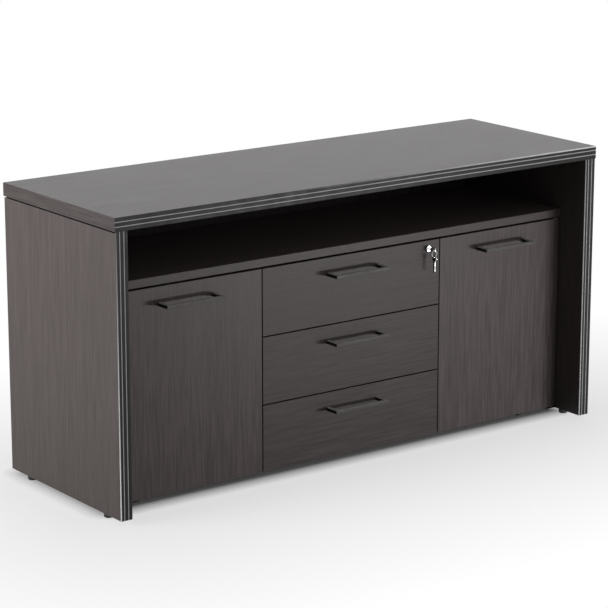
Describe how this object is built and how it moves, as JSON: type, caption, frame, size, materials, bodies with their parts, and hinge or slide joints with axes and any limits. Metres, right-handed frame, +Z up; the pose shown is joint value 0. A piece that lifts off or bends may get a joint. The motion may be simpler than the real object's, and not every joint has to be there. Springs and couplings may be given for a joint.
{
  "type": "minibar cabinet",
  "caption": "Low executive cabinet with an open niche under a thick top, hinged doors, a stack of drawers with bow handles, a cylinder lock with key and reeded front edges.",
  "frame": {"origin": "on the floor under the middle of the top", "axes": "+X to the right seen from the front, along the width; +Y to the back, along the depth; +Z up"},
  "size_m": [1.51, 0.516, 0.755],
  "materials": {
    "wenge_laminate": "satin laminate with fine straight dark grain",
    "edge_profile": "satin graphite edge moulding",
    "silver_inlay": "satin silver strip",
    "graphite_metal": "satin graphite lacquer",
    "drawer_board": "plain grey laminate",
    "zinc_steel": "zinc plated",
    "lock_chrome": "polished nickel",
    "black_plastic": "moulded",
    "bush_plastic": "moulded"
  },
  "bodies": {
    "carcass": {"top_panel": "wenge_laminate", "top_edge_profile": "edge_profile", "top_edge_inlays": "silver_inlay", "left_side_panel": "wenge_laminate", "right_side_panel": "wenge_laminate", "left_edge_profile": "edge_profile", "right_edge_profile": "edge_profile", "side_edge_inlays": "silver_inlay", "deck_panel": "wenge_laminate", "bottom_panel": "wenge_laminate", "left_partition": "wenge_laminate", "right_partition": "wenge_laminate", "back_panel": "wenge_laminate", "cam_connectors": "zinc_steel", "right_bay_shelf": "wenge_laminate", "shelf_pegs": "zinc_steel", "side_glides": "black_plastic", "bottom_glides": "black_plastic", "upper_pivot_plates": "graphite_metal", "lower_pivot_plates": "graphite_metal", "door_bumpers": "black_plastic", "lock_strike": "graphite_metal", "bottom_drawer_cabinet_rails": "zinc_steel", "middle_drawer_cabinet_rails": "zinc_steel", "top_drawer_cabinet_rails": "zinc_steel"},
    "left_door": {"left_door_panel": "wenge_laminate", "left_door_handle": "graphite_metal", "left_door_bushes": "bush_plastic"},
    "right_door": {"right_door_panel": "wenge_laminate", "right_door_handle": "graphite_metal", "right_door_bushes": "bush_plastic"},
    "bottom_drawer": {"bottom_drawer_front": "wenge_laminate", "bottom_drawer_handle": "graphite_metal", "bottom_drawer_sides": "drawer_board", "bottom_drawer_back": "drawer_board", "bottom_drawer_bottom": "drawer_board", "bottom_drawer_box_rails": "zinc_steel"},
    "bottom_runner": {"bottom_drawer_middle_rails": "zinc_steel"},
    "middle_drawer": {"middle_drawer_front": "wenge_laminate", "middle_drawer_handle": "graphite_metal", "middle_drawer_sides": "drawer_board", "middle_drawer_back": "drawer_board", "middle_drawer_bottom": "drawer_board", "middle_drawer_box_rails": "zinc_steel"},
    "middle_runner": {"middle_drawer_middle_rails": "zinc_steel"},
    "top_drawer": {"top_drawer_front": "wenge_laminate", "top_drawer_handle": "graphite_metal", "top_drawer_sides": "drawer_board", "top_drawer_back": "drawer_board", "top_drawer_bottom": "drawer_board", "top_drawer_box_rails": "zinc_steel", "lock_housing": "lock_chrome", "lock_nut": "zinc_steel"},
    "top_runner": {"top_drawer_middle_rails": "zinc_steel"},
    "lock_barrel": {"lock_plug": "lock_chrome", "lock_cam": "zinc_steel", "key": "lock_chrome"},
    "key_ring": {"key_ring": "lock_chrome"},
    "spare_key": {"spare_key": "lock_chrome"}
  },
  "joints": [
    {"name": "left_door_hinge", "type": "hinge", "parent": "carcass", "child": "left_door", "pos_m": [-0.70947, -0.1535, 0.277], "axis": [0, 0, -1], "range_deg": [0, 90]},
    {"name": "right_door_hinge", "type": "hinge", "parent": "carcass", "child": "right_door", "pos_m": [0.70947, -0.1535, 0.277], "axis": [0, 0, 1], "range_deg": [0, 90]},
    {"name": "bottom_drawer_slide", "type": "slide", "parent": "carcass", "child": "bottom_drawer", "axis": [0, -1, 0], "range_m": [0, 0.3]},
    {"name": "bottom_runner_slide", "type": "slide", "parent": "carcass", "child": "bottom_runner", "axis": [0, -1, 0], "range_m": [0, 0.15]},
    {"name": "middle_drawer_slide", "type": "slide", "parent": "carcass", "child": "middle_drawer", "axis": [0, -1, 0], "range_m": [0, 0.3]},
    {"name": "middle_runner_slide", "type": "slide", "parent": "carcass", "child": "middle_runner", "axis": [0, -1, 0], "range_m": [0, 0.15]},
    {"name": "top_drawer_slide", "type": "slide", "parent": "carcass", "child": "top_drawer", "axis": [0, -1, 0], "range_m": [0, 0.3]},
    {"name": "top_runner_slide", "type": "slide", "parent": "carcass", "child": "top_runner", "axis": [0, -1, 0], "range_m": [0, 0.15]},
    {"name": "lock_turn", "type": "hinge", "parent": "top_drawer", "child": "lock_barrel", "pos_m": [0.264, -0.1605, 0.524], "axis": [0, 1, 0], "range_deg": [0, 90]},
    {"name": "ring_swing", "type": "hinge", "parent": "lock_barrel", "child": "key_ring", "pos_m": [0.264, -0.1849, 0.5227], "axis": [1, 0, 0], "range_deg": [-25, 10]},
    {"name": "spare_key_swing", "type": "hinge", "parent": "key_ring", "child": "spare_key", "pos_m": [0.264, -0.1849, 0.5067], "axis": [1, 0, 0], "range_deg": [-25, 10]}
  ],
  "couplings": [
    {"joint": "bottom_runner_slide", "follows": "bottom_drawer_slide", "ratio": 0.5},
    {"joint": "middle_runner_slide", "follows": "middle_drawer_slide", "ratio": 0.5},
    {"joint": "top_runner_slide", "follows": "top_drawer_slide", "ratio": 0.5}
  ]
}
